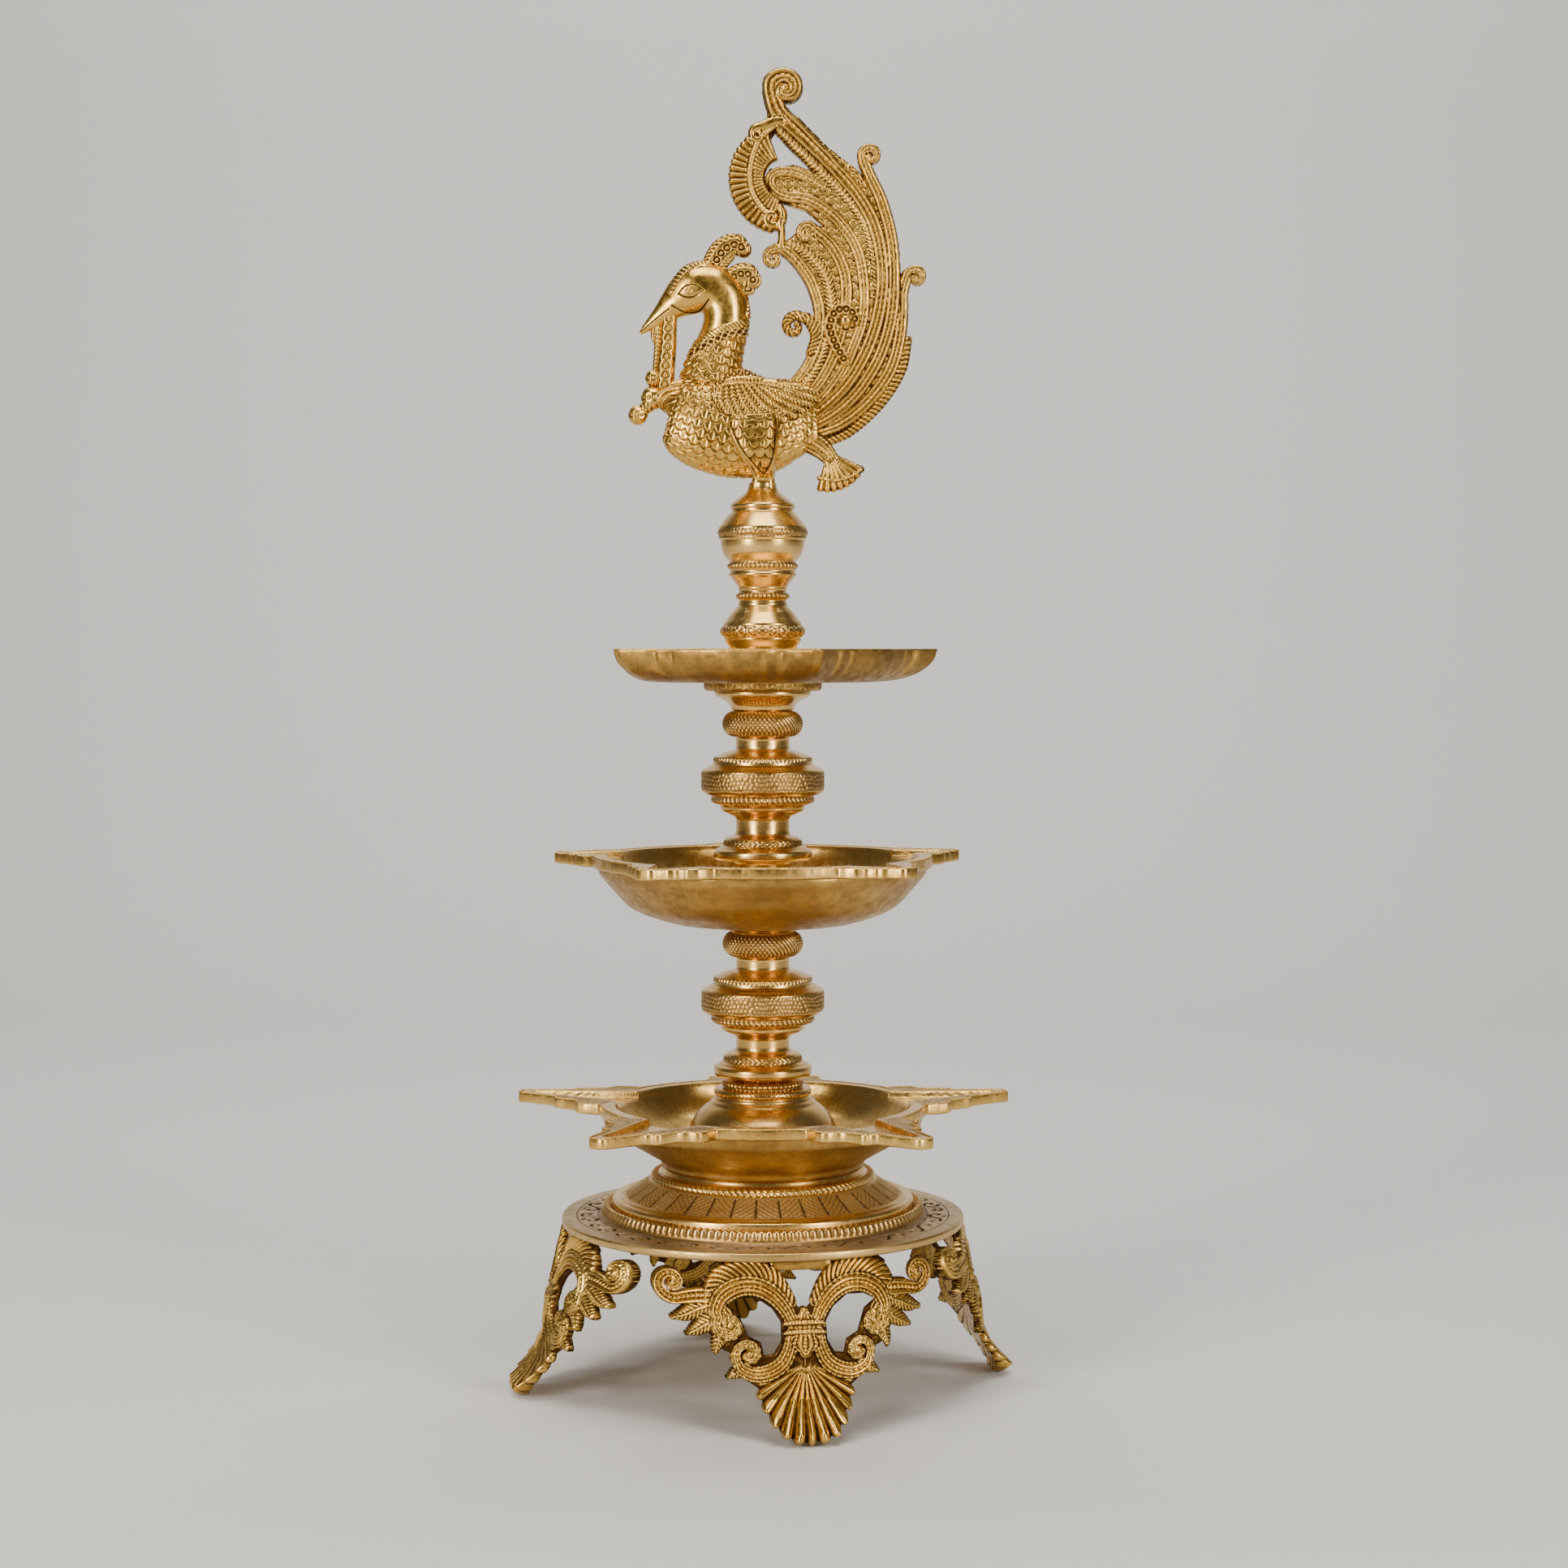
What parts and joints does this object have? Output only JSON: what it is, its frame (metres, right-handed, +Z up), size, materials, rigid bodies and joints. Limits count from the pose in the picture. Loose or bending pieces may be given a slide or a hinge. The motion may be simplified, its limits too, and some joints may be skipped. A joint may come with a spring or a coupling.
{
  "type": "standing oil lamp",
  "caption": "Tall brass oil lamp with stacked star-shaped wick dishes on a screwed column, scroll legs and a peacock finial.",
  "frame": {"origin": "on the column's axis, on the floor under the feet", "axes": "+Z up along the column; the peacock faces -X, and -Y is the side that the lamp is seen from"},
  "size_m": [0.2368, 0.241, 0.6096],
  "materials": {
    "plate_brass": "brushed matte, slightly pink",
    "turned_brass": "turned and polished, dark in the grooves",
    "cast_brass": "sand cast relief, buffed on the high points",
    "dish_brass": "turned inside, filed and aged outside",
    "stud_brass": "machined",
    "screw_steel": "plain zinc"
  },
  "bodies": {
    "base": {"base_plate": "plate_brass", "base_pedestal": "turned_brass", "pedestal_screws": "screw_steel", "leg_front": "cast_brass", "leg_right": "cast_brass", "leg_rear": "cast_brass", "leg_left": "cast_brass", "leg_screws": "screw_steel"},
    "bottom_dish": {"bottom_dish": "dish_brass", "bottom_hub": "turned_brass"},
    "lower_stud": {"lower_stud": "stud_brass"},
    "lower_stem": {"lower_stem": "turned_brass"},
    "middle_dish": {"middle_dish": "dish_brass"},
    "upper_stud": {"upper_stud": "stud_brass"},
    "upper_stem": {"upper_stem": "turned_brass"},
    "top_dish": {"top_dish": "dish_brass"},
    "capital_stud": {"capital_stud": "stud_brass"},
    "capital": {"capital": "turned_brass"},
    "finial_stud": {"finial_stud": "stud_brass"},
    "finial": {"finial_foot": "turned_brass", "peacock": "cast_brass"}
  },
  "joints": [
    {"name": "bottom_dish_swivel", "type": "hinge", "parent": "base", "child": "bottom_dish", "pos_m": [0, 0, 0.106], "axis": [0, 0, 1], "continuous": true},
    {"name": "lower_stud_rise", "type": "slide", "parent": "base", "child": "lower_stud", "axis": [0, 0, 1], "range_m": [0, 0.012]},
    {"name": "lower_stem_screw", "type": "hinge", "parent": "lower_stud", "child": "lower_stem", "pos_m": [0, 0, 0.15], "axis": [0, 0, 1], "range_deg": [0, 2160]},
    {"name": "middle_dish_swivel", "type": "hinge", "parent": "lower_stem", "child": "middle_dish", "pos_m": [0, 0, 0.2165], "axis": [0, 0, 1], "continuous": true},
    {"name": "upper_stud_rise", "type": "slide", "parent": "lower_stem", "child": "upper_stud", "axis": [0, 0, 1], "range_m": [0, 0.012]},
    {"name": "upper_stem_screw", "type": "hinge", "parent": "upper_stud", "child": "upper_stem", "pos_m": [0, 0, 0.23], "axis": [0, 0, 1], "range_deg": [0, 2160]},
    {"name": "top_dish_swivel", "type": "hinge", "parent": "upper_stem", "child": "top_dish", "pos_m": [0, 0, 0.328], "axis": [0, 0, 1], "continuous": true},
    {"name": "capital_stud_rise", "type": "slide", "parent": "upper_stem", "child": "capital_stud", "axis": [0, 0, 1], "range_m": [0, 0.012]},
    {"name": "capital_screw", "type": "hinge", "parent": "capital_stud", "child": "capital", "pos_m": [0, 0, 0.35], "axis": [0, 0, 1], "range_deg": [0, 2160]},
    {"name": "finial_stud_rise", "type": "slide", "parent": "capital", "child": "finial_stud", "axis": [0, 0, 1], "range_m": [0, 0.012]},
    {"name": "finial_screw", "type": "hinge", "parent": "finial_stud", "child": "finial", "pos_m": [0, 0, 0.41], "axis": [0, 0, 1], "range_deg": [0, 2160]}
  ],
  "couplings": [
    {"joint": "lower_stem_screw", "follows": "lower_stud_rise", "rad_per_m": 3141.6},
    {"joint": "upper_stem_screw", "follows": "upper_stud_rise", "rad_per_m": 3141.6},
    {"joint": "capital_screw", "follows": "capital_stud_rise", "rad_per_m": 3141.6},
    {"joint": "finial_screw", "follows": "finial_stud_rise", "rad_per_m": 3141.6}
  ]
}
